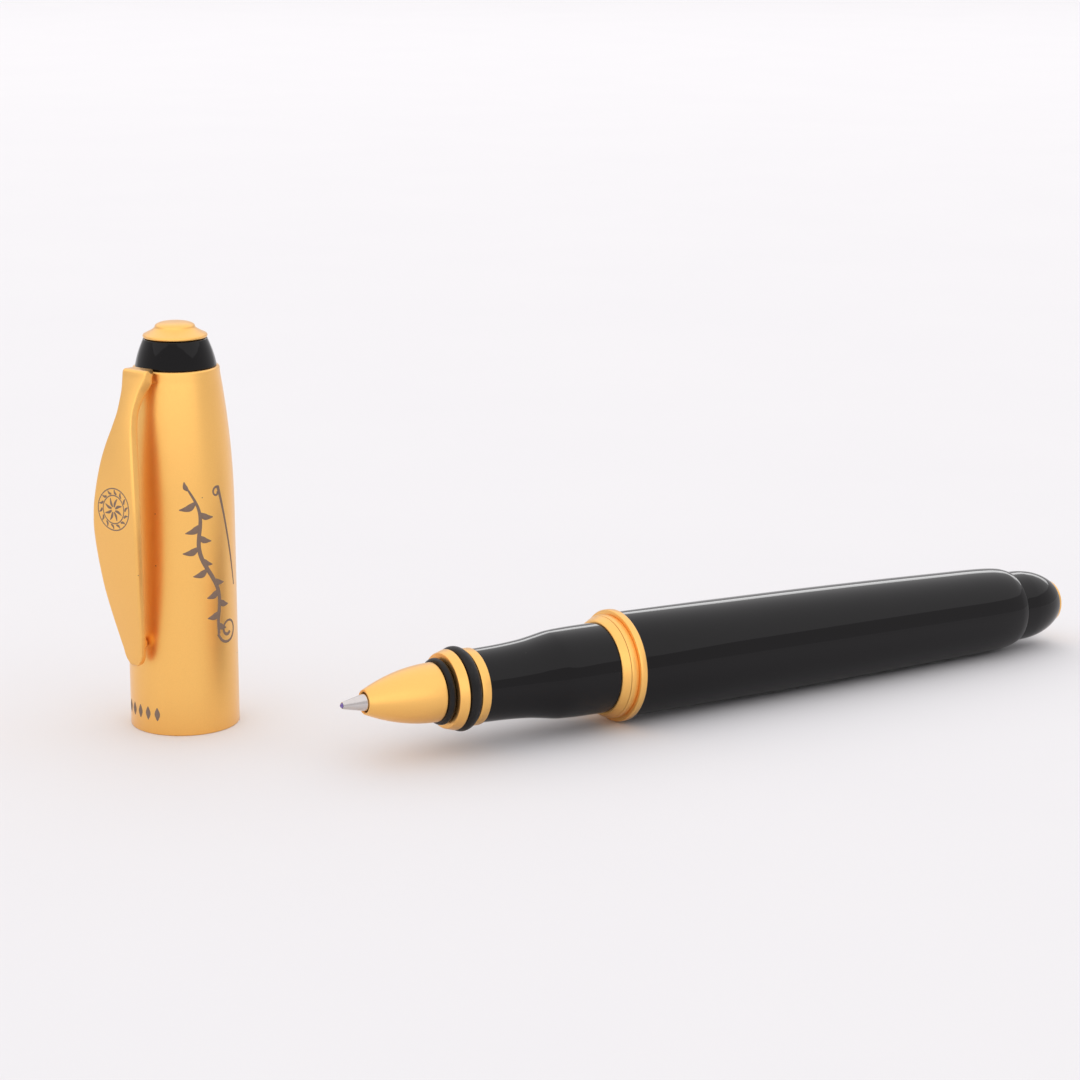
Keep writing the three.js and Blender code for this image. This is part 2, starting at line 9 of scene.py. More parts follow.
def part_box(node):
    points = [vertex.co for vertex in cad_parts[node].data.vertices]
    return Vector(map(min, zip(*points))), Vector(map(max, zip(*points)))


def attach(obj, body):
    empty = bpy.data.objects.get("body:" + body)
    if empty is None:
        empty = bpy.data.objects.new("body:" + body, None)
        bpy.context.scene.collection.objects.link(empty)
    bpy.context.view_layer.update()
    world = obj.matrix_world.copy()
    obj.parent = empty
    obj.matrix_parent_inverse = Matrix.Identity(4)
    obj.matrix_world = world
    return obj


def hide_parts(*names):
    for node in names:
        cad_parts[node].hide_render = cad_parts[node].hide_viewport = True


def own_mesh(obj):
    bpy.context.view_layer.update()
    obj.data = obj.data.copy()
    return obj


# A gold and black rollerball pen lying on its collar, with its cap standing beside it.
# Every outline is in millimetres: a station along the piece's own axis, then a radius.
# The pen's stations run from its writing tip to its tail, and the cap's from its mouth up.

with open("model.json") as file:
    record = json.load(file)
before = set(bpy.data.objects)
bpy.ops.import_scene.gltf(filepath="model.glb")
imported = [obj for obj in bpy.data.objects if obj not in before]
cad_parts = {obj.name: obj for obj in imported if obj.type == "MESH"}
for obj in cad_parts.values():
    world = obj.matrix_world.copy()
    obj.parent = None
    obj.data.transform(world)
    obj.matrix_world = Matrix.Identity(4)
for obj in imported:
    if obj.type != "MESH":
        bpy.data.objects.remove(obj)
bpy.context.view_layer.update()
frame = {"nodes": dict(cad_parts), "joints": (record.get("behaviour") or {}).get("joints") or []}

MM = 0.001
ROUND = 160          # steps round a piece that shows
INSIDE = 64          # steps round a piece that stays inside
GAP = 0.06           # room between two pieces that seat on each other
SHARP = math.radians(32)

# ---- where things are --------------------------------------------------------------------


def placed(origin, along, towards):
    """The matrix from a piece's own millimetres, its axis along Z, to the shared frame."""
    z = Vector(along).normalized()
    x = Vector(towards)
    x = (x - z * z.dot(x)).normalized()
    axes = Matrix((x, z.cross(x), z)).transposed().to_4x4()
    return Matrix.Translation(origin) @ axes @ Matrix.Scale(MM, 4)


up = Vector((0, 0, 1))
joints = {joint["name"]: joint for joint in frame["joints"]}
barrel_turn = joints["barrel_turn"]
PEN = placed(barrel_turn["pos_m"], barrel_turn["axis"], up)
liner_low, liner_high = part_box("cap_liner")
cap_foot = (liner_low + liner_high) / 2
cap_foot.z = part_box("cap_shell")[0].z
CAP = placed(cap_foot, up, up.cross(Vector(joints["clip_flex"]["axis"])))


def merged(node, place):
    """A CAD node as a bmesh in its own millimetres, its loose triangles joined."""
    bm = bmesh.new()
    bm.from_mesh(frame["nodes"][node].data)
    bm.transform(place.inverted())
    bmesh.ops.remove_doubles(bm, verts=bm.verts, dist=1e-3)
    return bm


def between(low, high, share):
    return low + (high - low) * share


class Reach:
    """What a turned CAD node spans, and its outer outline on one side of its axis."""

    def __init__(self, node, place, side=1):
        bm = merged(node, place)
        column = {v for v in bm.verts if abs(v.co.y) < 0.01 and v.co.x * side > -0.01}
        ends = [[v.co for v in e.verts] for e in bm.edges if set(e.verts) <= column]
        self.front = min(v.co.z for v in column)
        self.rear = max(v.co.z for v in column)
        self.inner = min(abs(v.co.x) for v in column)
        self.outer = max(abs(v.co.x) for v in column)

        def widest(station):
            radii = [0.0]
            for a, b in ends:
                low, high = sorted((a, b), key=lambda co: co.z)
                if low.z - 1e-4 <= station <= high.z + 1e-4:
                    share = (station - low.z) / max(high.z - low.z, 1e-6)
                    share = min(max(share, 0), 1)
                    radii.append(abs(between(low.x, high.x, share)))
                    if high.z - low.z < 1e-4:
                        radii += [abs(low.x), abs(high.x)]
            return max(radii)

        outer = {v for v in column if abs(v.co.x) > widest(v.co.z) - 0.01}
        self.outline = sorted({(round(v.co.z, 3), round(abs(v.co.x), 3)) for v in outer})
        bm.free()


def soft(points, steps=4):
    """A smooth curve through points of rising station, which never overshoots them."""
    spans = [b[0] - a[0] for a, b in zip(points, points[1:])]
    slopes = [(b[1] - a[1]) / span for a, b, span in zip(points, points[1:], spans)]
    tangents = [slopes[0]]
    for i in range(1, len(slopes)):
        if slopes[i - 1] * slopes[i] <= 0:
            tangents.append(0.0)
            continue
        before = 2 * spans[i] + spans[i - 1]
        after = spans[i] + 2 * spans[i - 1]
        tangents.append((before + after) / (before / slopes[i - 1] + after / slopes[i]))
    tangents.append(slopes[-1])
    curve = []
    for i, span in enumerate(spans):
        for step in range(steps):
            t = step / steps
            curve.append((
                points[i][0] + span * t,
                points[i][1] * (1 + 2 * t) * (1 - t) ** 2
                + points[i + 1][1] * t * t * (3 - 2 * t)
                + tangents[i] * span * t * (1 - t) ** 2
                - tangents[i + 1] * span * t * t * (1 - t),
            ))
    return curve + [points[-1]]


def arc(station, radius, size, start, stop, steps=8):
    """Part of a circle in an outline, by its centre, its size and its two angles."""
    angles = [math.radians(between(start, stop, i / steps)) for i in range(steps + 1)]
    return [(station + size * math.cos(a), radius + size * math.sin(a)) for a in angles]


# ---- making a piece ------------------------------------------------------------------------

lacquered = bpy.data.collections.new("lacquered")     # the pieces that the gloss light lights
bright = bpy.data.collections.new("bright")           # the pieces that the front light lights


def to_object(name, bm, place):
    """A finished bmesh as an object at the origin, with its sharp edges marked."""
    bmesh.ops.remove_doubles(bm, verts=bm.verts, dist=1e-4)
    bmesh.ops.recalc_face_normals(bm, faces=bm.faces)
    for face in bm.faces:
        face.smooth = True
    for edge in bm.edges:
        edge.smooth = edge.calc_face_angle(0) < SHARP
    bm.transform(place)
    mesh = bpy.data.meshes.new(name)
    bm.to_mesh(mesh)
    bm.free()
    made = bpy.data.objects.new(name, mesh)
    bpy.context.scene.collection.objects.link(made)
    return made


def spun(outline, steps=ROUND, closed=True):
    """A bmesh turned from an outline. A third number in a point rounds that corner."""
    bm = bmesh.new()
    verts = [bm.verts.new((point[1], 0, point[0])) for point in outline]
    pairs = list(zip(verts, verts[1:]))
    if closed:
        pairs.append((verts[-1], verts[0]))
    for pair in pairs:
        bm.edges.new(pair)
    for vert, point in zip(verts, outline):
        if len(point) > 2:
            bmesh.ops.bevel(
                bm, geom=[vert], offset=point[2], affect="VERTICES", segments=5,
                profile=0.5, material=-1,
            )
    bmesh.ops.spin(
        bm, geom=bm.verts[:] + bm.edges[:], cent=(0, 0, 0), axis=(0, 0, 1),
        angle=2 * math.pi, steps=steps, use_merge=True,
    )
    bmesh.ops.remove_doubles(bm, verts=bm.verts, dist=1e-4)
    return bm


def add(piece, finish, body, replaces=()):
    """Gives a piece its finish, its body and the CAD nodes that it stands for."""
    piece.data.materials.clear()
    piece.data.materials.append(finish)
    if finish == LACQUER:
        lacquered.objects.link(piece)
    if finish in (GOLD, ENGRAVED):
        bright.objects.link(piece)
    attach(piece, body)
    if replaces:
        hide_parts(*replaces)
    return piece


def turned(node, outline, finish, body, place=PEN, steps=ROUND, closed=True):
    piece = to_object(node + "_finished", spun(outline, steps, closed), place)
    return add(piece, finish, body, [node])


# ---- finishes ------------------------------------------------------------------------------


class Finish:
    """A material with its shader, and short ways to add nodes in front of it."""

    def __init__(self, name, **settings):
        self.material = bpy.data.materials.new(name)
        self.material.use_nodes = True
        self.tree = self.material.node_tree
        self.shader = self.tree.nodes["Principled BSDF"]
        for label, value in settings.items():
            self.shader.inputs[label.replace("_", " ")].default_value = value
        self.place = self.tree.nodes.new("ShaderNodeTexCoord").outputs["Object"]

    def link(self, source, target):
        self.tree.links.new(source, target)

    def noise(self, size, detail=3.0, rough=0.55):
        """Noise whose features are about this many millimetres across."""
        node = self.tree.nodes.new("ShaderNodeTexNoise")
        node.inputs["Scale"].default_value = 1 / (size * MM)
        node.inputs["Detail"].default_value = detail
        node.inputs["Roughness"].default_value = rough
        self.link(self.place, node.inputs["Vector"])
        return node.outputs["Fac"]

    def spread(self, source, low, high, start=0.3, stop=0.7):
        node = self.tree.nodes.new("ShaderNodeMapRange")
        for label, value in (
            ("From Min", start), ("From Max", stop), ("To Min", low), ("To Max", high),
        ):
            node.inputs[label].default_value = value
        self.link(source, node.inputs["Value"])
        return node.outputs["Result"]

    def math(self, operation, first, second):
        node = self.tree.nodes.new("ShaderNodeMath")
        node.operation = operation
        for socket, value in zip(node.inputs, (first, second)):
            if isinstance(value, (int, float)):
                socket.default_value = value
            else:
                self.link(value, socket)
        return node.outputs[0]

    def specks(self, spacing, size, share):
        """1 inside small round specks that fill a share of the cells this far apart, else 0."""
        node = self.tree.nodes.new("ShaderNodeTexVoronoi")
        node.inputs["Scale"].default_value = 1 / (spacing * MM)
        self.link(self.place, node.inputs["Vector"])
        split = self.tree.nodes.new("ShaderNodeSeparateColor")
        self.link(node.outputs["Color"], split.inputs["Color"])
        near = self.math("LESS_THAN", node.outputs["Distance"], size / spacing)
        chosen = self.math("LESS_THAN", split.outputs["Red"], share)
        return self.math("MULTIPLY", near, chosen)

    def blend(self, factor, first, second):
        node = self.tree.nodes.new("ShaderNodeMix")
        node.data_type = "RGBA"
        self.link(factor, node.inputs["Factor"])
        colours = [socket for socket in node.inputs if socket.type == "RGBA"]
        for socket, value in zip(colours, (first, second)):
            if isinstance(value, tuple):
                socket.default_value = (*value, 1)
            else:
                self.link(value, socket)
        return [socket for socket in node.outputs if socket.type == "RGBA"][0]

    def bump(self, height, depth, strength=1.0):
        """Raises the surface by up to this many millimetres where the height is 1."""
        node = self.tree.nodes.new("ShaderNodeBump")
        node.inputs["Strength"].default_value = strength
        node.inputs["Distance"].default_value = depth * MM
        self.link(height, node.inputs["Height"])
        self.link(node.outputs["Normal"], self.shader.inputs["Normal"])

    def colour(self, source):
        self.link(source, self.shader.inputs["Base Color"])

    def roughness(self, source):
        self.link(source, self.shader.inputs["Roughness"])


def satin_gold():
    """Bead-blasted gold plating: a fine grain, faint clouds and a few dark pits."""
    gold = Finish("satin_gold", Metallic=1.0, Coat_Weight=1.0, Coat_Roughness=0.45, Coat_IOR=1.75)
    clouds = gold.blend(gold.noise(9), (0.97, 0.53, 0.1), (0.95, 0.5, 0.085))
    grain = gold.noise(0.14, detail=2)
    grained = gold.blend(gold.spread(grain, 0, 0.12), clouds, (0.66, 0.3, 0.03))
    pits = gold.specks(1.9, 0.085, 0.14)
    gold.colour(gold.blend(pits, grained, (0.16, 0.06, 0.015)))
    gold.roughness(gold.spread(gold.noise(0.5), 0.34, 0.42))
    gold.bump(grain, 0.005, 0.3)
    return gold.material


def black_lacquer():
    """Deep gloss lacquer over brass, nearly flat, with a little dust on it."""
    lacquer = Finish("black_lacquer", Specular_IOR_Level=0.27)
    dust = lacquer.specks(2.6, 0.085, 0.2)
    lacquer.colour(lacquer.blend(dust, (0.0022, 0.0016, 0.0021), (0.16, 0.15, 0.14)))
    haze = lacquer.spread(lacquer.noise(3), 0.03, 0.07)
    lacquer.roughness(lacquer.math("MAXIMUM", haze, lacquer.math("MULTIPLY", dust, 0.6)))
    lacquer.bump(lacquer.noise(1.6, detail=1), 0.0008, 0.3)
    return lacquer.material


def seal_rubber():
    """Smooth black rubber that has picked up some pale dust."""
    rubber = Finish("seal_rubber", Specular_IOR_Level=0.3)
    dusty = rubber.spread(rubber.noise(0.35, detail=5), 0, 0.4, 0.6, 0.85)
    rubber.colour(rubber.blend(dusty, (0.006, 0.005, 0.005), (0.1, 0.09, 0.08)))
    rubber.roughness(rubber.spread(rubber.noise(0.5), 0.3, 0.45))
    rubber.bump(rubber.noise(0.12), 0.004, 0.2)
    return rubber.material


def turned_metal(name, light, dark, rough, ring=0.12, depth=0.004):
    """Metal as it leaves a lathe: fine rings across the axis and soft stains."""
    metal = Finish(name, Metallic=1.0)
    stretch = metal.tree.nodes.new("ShaderNodeMapping")
    stretch.inputs["Scale"].default_value = (1, 0.02, 0.02)
    metal.link(metal.place, stretch.inputs["Vector"])
    stains = metal.noise(2.5)
    metal.place = stretch.outputs["Vector"]
    rings = metal.noise(ring, detail=2)
    metal.colour(metal.blend(metal.spread(stains, 0, 1), light, dark))
    metal.roughness(metal.spread(rings, rough - 0.05, rough + 0.06))
    metal.bump(rings, depth, 0.3)
    return metal.material


def moulded(name, light, dark, rough, **settings):
    """Moulded plastic with a fine spark-eroded grain and uneven gloss."""
    plastic = Finish(name, **settings)
    plastic.colour(plastic.blend(plastic.noise(2), light, dark))
    plastic.roughness(plastic.spread(plastic.noise(0.6), rough - 0.08, rough + 0.08))
    plastic.bump(plastic.noise(0.1), 0.006, 0.4)
    return plastic.material


def inked_carbide():
    """The polished writing ball, wet with violet ink."""
    ball = Finish("inked_carbide", Metallic=0.6, Coat_Weight=1.0, Coat_Roughness=0.05)
    film = ball.spread(ball.noise(0.25), 0, 1)
    ball.colour(ball.blend(film, (0.10, 0.05, 0.30), (0.22, 0.14, 0.42)))
    ball.roughness(ball.spread(ball.noise(0.1), 0.15, 0.3))
    return ball.material


def engraved_brown():
    """The dull brown-grey of a line that has been cut and darkened."""
    brown = Finish("engraved_brown", Specular_IOR_Level=0.25)
    brown.colour(brown.blend(brown.noise(0.25), (0.175, 0.12, 0.09), (0.235, 0.16, 0.12)))
    brown.roughness(brown.spread(brown.noise(0.2), 0.5, 0.75))
    return brown.material


GOLD = satin_gold()
LACQUER = black_lacquer()
RUBBER = seal_rubber()
TIP_STEEL = turned_metal("tip_steel", (0.64, 0.6, 0.585), (0.58, 0.54, 0.525), 0.2, 0.4, 0.001)
SCREW_STEEL = turned_metal("screw_steel", (0.56, 0.56, 0.58), (0.44, 0.44, 0.46), 0.3)
BRASS = turned_metal("raw_brass", (0.74, 0.5, 0.19), (0.55, 0.34, 0.11), 0.34)
PLASTIC = moulded("black_plastic", (0.012, 0.012, 0.013), (0.02, 0.02, 0.021), 0.45)
MILKY = moulded("milky_plastic", (0.72, 0.74, 0.77), (0.64, 0.66, 0.7), 0.35, Subsurface_Weight=0.3)
INKED = inked_carbide()
ENGRAVED = engraved_brown()

# ---- the writing section ---------------------------------------------------------------------

nose = Reach("nose_cone", PEN)
core = Reach("section_core", PEN)
front_ring = Reach("front_trim_ring", PEN)
rear_ring = Reach("rear_trim_ring", PEN)
grip = Reach("grip_sleeve", PEN)
lip = Reach("collar_lip", PEN)
flange = Reach("collar_flange", PEN)


def nose_cone():
    depth = 2.4          # length of the narrow hole round the steel tip
    front_radius = nose.outline[0][1]
    drop = nose.outer - front_radius
    ogive = [
        (between(nose.front, nose.rear, s / 30), nose.outer - drop * (1 - s / 30) ** 2)
        for s in range(1, 31)
    ]
    turned("nose_cone", [
        (nose.front + 0.15, nose.inner),
        (nose.front, nose.inner + 0.1),
        (nose.front, front_radius, 0.07),
        *ogive[:-1],
        (*ogive[-1], 0.12),
        (nose.rear, front_ring.inner),
        (core.front - GAP, front_ring.inner),
        (core.front - GAP, core.inner),
        (nose.front + depth, core.inner),
        (nose.front + depth, nose.inner),
    ], GOLD, "grip_section")


def seal_ring(node, squeezed=0.0):
    """A round rubber ring, squeezed out rearwards a little where it is tight."""
    seal = Reach(node, PEN)
    size = (seal.rear - seal.front) / 2
    middle = (seal.rear + seal.front) / 2
    circle = [
        (station + max(station - middle, 0) / size * squeezed, radius)
        for station, radius in arc(middle, seal.outer - size, size, 0, 360, 36)[:-1]
    ]
    turned(node, circle, RUBBER, "grip_section")


def trim_rings():
    turned("front_trim_ring", [
        (front_ring.front, front_ring.inner),
        (*front_ring.outline[0], 0.12),
        (front_ring.rear - 0.16, front_ring.outer, 0.08),
        (front_ring.rear, front_ring.outer - 0.14, 0.05),
        (front_ring.rear, front_ring.inner),
    ], GOLD, "grip_section")
    turned("rear_trim_ring", [
        (rear_ring.front + 0.26, rear_ring.inner),
        (rear_ring.front + 0.26, rear_ring.outer, 0.14),
        (rear_ring.rear, rear_ring.outer, 0.08),
        (rear_ring.rear, rear_ring.inner),
    ], GOLD, "grip_section")


def grip_sleeve():
    outside = soft(grip.outline)
    turned("grip_sleeve", [
        (grip.front, grip.inner),
        (*outside[0], 0.1),
        *outside[1:-1],
        outside[-1],
        (grip.rear, grip.inner),
    ], LACQUER, "grip_section")


def collar():
    band_front = flange.outline[0][1]
    band_rear = flange.outline[1][0]
    band = flange.outline[1][1]
    ledge = flange.outline[2][0]
    turned("collar_lip", [
        (lip.front, lip.inner),
        (lip.front, lip.outline[0][1], 0.06),
        (lip.front + 0.14, lip.outline[1][1] + 0.08, 0.1),
        (lip.rear, band_front - 0.03),
        (lip.rear, lip.inner),
    ], GOLD, "grip_section")
    groove = 0.14
    edge = 0.24
    turned("collar_flange", [
        (flange.front, flange.inner),
        (flange.front, band_front, 0.03),
        (band_rear + 0.1, band, 0.08),
        (ledge - groove, band, 0.05),
        (ledge - groove, band - groove, 0.05),
        (ledge, band - groove, 0.05),
        (ledge, flange.outer, edge),
        (flange.rear, flange.outer, edge),
        (flange.rear, flange.inner),
    ], GOLD, "grip_section")


def thread_ridge(radius, depth, pitch, start, length, inwards=False):
    """A closed helical ridge of triangular section, standing on a cylinder of this radius."""
    bm = bmesh.new()
    tip = radius - depth if inwards else radius + depth
    foot = radius + 0.05 if inwards else radius - 0.05
    corners = [(foot, -pitch * 0.42), (tip, 0), (foot, pitch * 0.42)]
    verts = [bm.verts.new((r, 0, start + z)) for r, z in corners]
    face = bm.faces.new(verts)
    turns = length / pitch
    steps = int(turns * 36)
    bmesh.ops.spin(
        bm, geom=[face], cent=(0, 0, 0), axis=(0, 0, 1), dvec=(0, 0, length / steps),
        angle=2 * math.pi * turns, steps=steps,
    )
    return bm


def join(bm, other):
    """Adds another bmesh to this one."""
    mesh = bpy.data.meshes.new("joined")
    other.to_mesh(mesh)
    other.free()
    bm.from_mesh(mesh)
    bpy.data.meshes.remove(mesh)


def section_core():
    """Brass tube that carries the sleeve and the rings, threaded behind the collar."""
    step = core.outline[2][0]
    thread_front = core.outline[-2][0]
    body = core.outline[2][1]
    thread_depth = 0.35
    pitch = 1.0
    relief = core.outer - thread_depth
    wide_bore = body - 0.85
    bore_step = flange.front - 22
    bm = spun([
        (core.front, core.inner),
        (core.front, core.outline[0][1], 0.1),
        (step, core.outline[0][1]),
        (step, body, 0.1),
        (thread_front, body),
        (thread_front, relief, 0.08),
        (core.rear, relief, 0.2),
        (core.rear, wide_bore),
        (bore_step, wide_bore),
        (bore_step, core.inner),
    ], INSIDE)
    ridge = thread_ridge(
        relief, thread_depth, pitch, thread_front + 0.7, core.rear - thread_front - 1.3,
    )
    join(bm, ridge)
    piece = to_object("section_core_finished", bm, PEN)
    add(piece, BRASS, "grip_section", ["section_core"])


nose_cone()
seal_ring("front_seal_ring")
seal_ring("rear_seal_ring", 0.24)
trim_rings()
grip_sleeve()
collar()
section_core()

# ---- the refill ------------------------------------------------------------------------------

tip = Reach("refill_tip", PEN)
holder = Reach("refill_holder", PEN)
ink_tube = Reach("refill_tube", PEN)
plug = Reach("refill_plug", PEN)
spring = Reach("refill_spring", PEN)


def refill():
    mouth = tip.outline[0][1]
    cone_end = nose.front
    socket = 0.66
    turned("refill_tip", [
        (tip.front, mouth - 0.06),
        (tip.front, mouth, 0.03),
        (tip.front + 0.35, mouth + 0.09),
        (cone_end - 0.35, tip.outer - 0.1),
        (cone_end, tip.outer, 0.1),
        (tip.rear, tip.outer, 0.1),
        (tip.rear, tip.inner + 0.3),
        (cone_end, tip.inner + 0.3),
        (tip.front + socket, tip.inner),
        (tip.front + socket, mouth - 0.06),
    ], TIP_STEEL, "refill", steps=96)
    neck = holder.outline[1][1]
    seat = [point for point in holder.outline if point[1] > neck + 0.5]
    turned("refill_holder", [
        (holder.front, tip.outer + GAP),
        (*holder.outline[0], 0.1),
        (*holder.outline[1], 0.1),
        (seat[0][0], neck, 0.15),
        (*seat[0], 0.12),
        (seat[-1][0], seat[-1][1], 0.08),
        (seat[-1][0], holder.outline[-1][1]),
        (holder.rear, holder.outline[-1][1], 0.3),
        (holder.rear, holder.inner),
        (tip.rear + GAP, holder.inner),
        (tip.rear + GAP, tip.outer + GAP),
    ], PLASTIC, "refill", steps=INSIDE)
    turned("refill_tube", [
        (ink_tube.front, ink_tube.inner),
        (ink_tube.front, ink_tube.outer, 0.08),
        (ink_tube.rear, ink_tube.outer, 0.08),
        (ink_tube.rear, ink_tube.inner),
    ], MILKY, "refill", steps=INSIDE)
    inside = ink_tube.inner - GAP
    rim = ink_tube.rear + GAP
    turned("refill_plug", [
        (plug.front, 0),
        (plug.front, inside, 0.3),
        (rim, inside),
        (rim, plug.outer, 0.1),
        (plug.rear, plug.outer, 0.18),
        (plug.rear, 0.9, 0.1),
        (plug.rear - 0.3, 0.8, 0.1),
        (plug.rear - 0.3, 0),
    ], PLASTIC, "refill", steps=INSIDE, closed=False)


def writing_ball():
    ball = Reach("writing_ball", PEN)
    bm = bmesh.new()
    bmesh.ops.create_icosphere(bm, subdivisions=4, radius=ball.outer)
    bmesh.ops.translate(bm, verts=bm.verts, vec=(0, 0, (ball.front + ball.rear) / 2))
    piece = to_object("writing_ball_finished", bm, PEN)
    add(piece, INKED, "ball", ["writing_ball"])


def refill_spring():
    """A coil of round wire, with a closed turn lying flat at each end."""
    wire = 0.25
    radius = spring.outer - wire
    turns = 7
    steps = 28
    bm = bmesh.new()
    bmesh.ops.create_circle(bm, cap_ends=True, segments=12, radius=wire)
    upright = Matrix.Rotation(math.pi / 2, 3, "X")
    bmesh.ops.rotate(bm, verts=bm.verts, cent=(0, 0, 0), matrix=upright)
    bmesh.ops.translate(bm, verts=bm.verts, vec=(radius, 0, 0))
    bmesh.ops.spin(
        bm, geom=bm.faces[:], cent=(0, 0, 0), axis=(0, 0, 1), dvec=(0, 0, 1 / steps),
        angle=2 * math.pi * turns, steps=turns * steps,
    )
    close = 2.3 * wire
    travel = spring.rear - spring.front - 2 * wire
    active = (travel - 2 * close) / (turns - 2)
    for vert in bm.verts:
        turn = vert.co.z
        height = min(turn, 1) * close + min(max(turn - 1, 0), turns - 2) * active
        height += max(turn - (turns - 1), 0) * close
        vert.co.z = spring.front + wire + height
    return bm


refill()
writing_ball()
coil = add(to_object("refill_spring_finished", refill_spring(), PEN), SCREW_STEEL, "spring",
           ["refill_spring"])
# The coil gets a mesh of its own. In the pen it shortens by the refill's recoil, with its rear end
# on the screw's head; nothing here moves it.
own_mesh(coil)

# ---- the barrel ------------------------------------------------------------------------------

barrel = Reach("barrel_shell", PEN)
bush = Reach("barrel_bush", PEN)
tail = Reach("tail_piece", PEN)
disc = Reach("tail_disc", PEN)
tail_screw_reach = Reach("tail_screw", PEN)


def barrel_shell():
    front, shoulder = barrel.outline[1], barrel.outline[2:]
    outside = [front, *soft(shoulder, 5)]
    bore = tail_screw_reach.outer + 0.9
    end_wall = 3.3
    turned("barrel_shell", [
        (barrel.front, bush.outer + GAP),
        (barrel.front, front[1], 0.14),
        *outside[1:-1],
        (*outside[-1], 0.12),
        (barrel.rear, barrel.inner),
        (barrel.rear - end_wall, barrel.inner),
        (barrel.rear - end_wall, bore, 0.3),
        (bush.rear + GAP, bore),
        (bush.rear + GAP, bush.outer + GAP),
    ], LACQUER, "barrel")


def barrel_bush():
    """Brass bush with the barrel's thread cut in it."""
    thread_root = bush.inner + 0.15
    thread_depth = 0.12
    pitch = 1.0
    bm = spun([
        (bush.front, thread_root),
        (bush.front, bush.outer, 0.15),
        (bush.rear, bush.outer, 0.15),
        (bush.rear, thread_root),
    ], INSIDE)
    join(bm, thread_ridge(
        thread_root, thread_depth, pitch, bush.front + 0.8, bush.rear - bush.front - 1.6, True,
    ))
    piece = to_object("barrel_bush_finished", bm, PEN)
    add(piece, BRASS, "barrel", ["barrel_bush"])


def tail_piece():
    start = tail.outline[-1][0]
    face = [point for point in tail.outline if point[0] > barrel.rear]
    outside = soft(face[1:], 5)
    recess = disc.outer + GAP
    floor = disc.front - GAP
    spigot = barrel.inner - GAP
    turned("tail_piece", [
        (tail.front, tail.inner),
        (tail.front, spigot, 0.1),
        (face[0][0], spigot),
        (face[0][0], face[1][1], 0.2),
        *outside[1:-1],
        (start, face[-1][1] - 0.02, 0.03),
        (start, recess),
        (floor, recess),
        (floor, tail.inner),
    ], LACQUER, "barrel")


def tail_disc():
    turned("tail_disc", [
        (disc.front, 0),
        (disc.front, disc.outer),
        (disc.rear, disc.outer, 0.14),
        (disc.rear, disc.outer - 0.5),
        (disc.rear - 0.04, disc.outer - 0.6),
        (disc.rear - 0.04, 0),
    ], GOLD, "barrel", closed=False)


def turned_screw(node, body, place):
    """A turned screw with a head, a shank and a ring-shaped recess in its front."""
    recess_inner, recess_floor, recess_outer = 0.9, 1.3, 1.75
    recess_depth = 0.35
    reach = Reach(node, place)
    shank = reach.outline[-1][1]
    head = [point for point in reach.outline if point[1] > shank + 1]
    turned(node, [
        (reach.front, 0),
        (reach.front, recess_inner, 0.1),
        (reach.front + recess_depth, recess_floor, 0.1),
        (reach.front, recess_outer, 0.1),
        (reach.front, reach.outer, 0.25),
        (head[-1][0], reach.outer, 0.12),
        (head[-1][0], shank, 0.15),
        (reach.rear, shank, 0.2),
        (reach.rear, 0),
    ], SCREW_STEEL, body, place, INSIDE, closed=False)


barrel_shell()
barrel_bush()
tail_piece()
tail_disc()
turned_screw("tail_screw", "barrel", PEN)

# ---- the cap ---------------------------------------------------------------------------------

shell = Reach("cap_shell", CAP, side=-1)
liner = Reach("cap_liner", CAP)
crown = Reach("crown_ring", CAP)
finial_reach = Reach("finial", CAP)
shell_outline = soft(shell.outline[1:-1], 5)


def shell_radius(height):
    for low, high in zip(shell_outline, shell_outline[1:]):
        if low[0] <= height <= high[0]:
            return between(low[1], high[1], (height - low[0]) / (high[0] - low[0]))
    return shell_outline[-1][1]


# The clip's outer face and half width, measured on its CAD node at a height.
clip_bm = merged("clip", CAP)
clip_top = max(v.co.z for v in clip_bm.verts)
clip_tip = min(v.co.z for v in clip_bm.verts)
tab_inner = min(v.co.x for v in clip_bm.verts if v.co.z > clip_top - 0.5)
tab_end = [v.co for v in clip_bm.verts if v.co.z > clip_top - 1.5 and v.co.x < tab_inner + 0.05]
tab_level = max(co.z for co in tab_end)
tab_half = max(abs(co.y) for co in tab_end)


def clip_cut(height):
    """The clip's outer distance and half width where a level plane cuts its CAD node."""
    cuts = []
    for edge in clip_bm.edges:
        low, high = sorted((v.co for v in edge.verts), key=lambda co: co.z)
        if low.z < height < high.z:
            cuts.append(low.lerp(high, (height - low.z) / (high.z - low.z)))
    return max(co.x for co in cuts), max(abs(co.y) for co in cuts)


clip_depth = 1.5
tab_thickness = 0.75
clip_heights = [between(clip_tip + 0.05, clip_top - 0.75, i / 18) for i in range(19)]
clip_cuts = [clip_cut(height) for height in clip_heights]
clip_bm.free()
clip_out = soft([(z, cut[0]) for z, cut in zip(clip_heights, clip_cuts)], 6)
clip_half = soft([(z, cut[1]) for z, cut in zip(clip_heights, clip_cuts)], 6)


def at(curve, station):
    """A curve's value at a station, held at its ends."""
    if station <= curve[0][0]:
        return curve[0][1]
    for low, high in zip(curve, curve[1:]):
        if station <= high[0]:
            return between(low[1], high[1], (station - low[0]) / (high[0] - low[0]))
    return curve[-1][1]


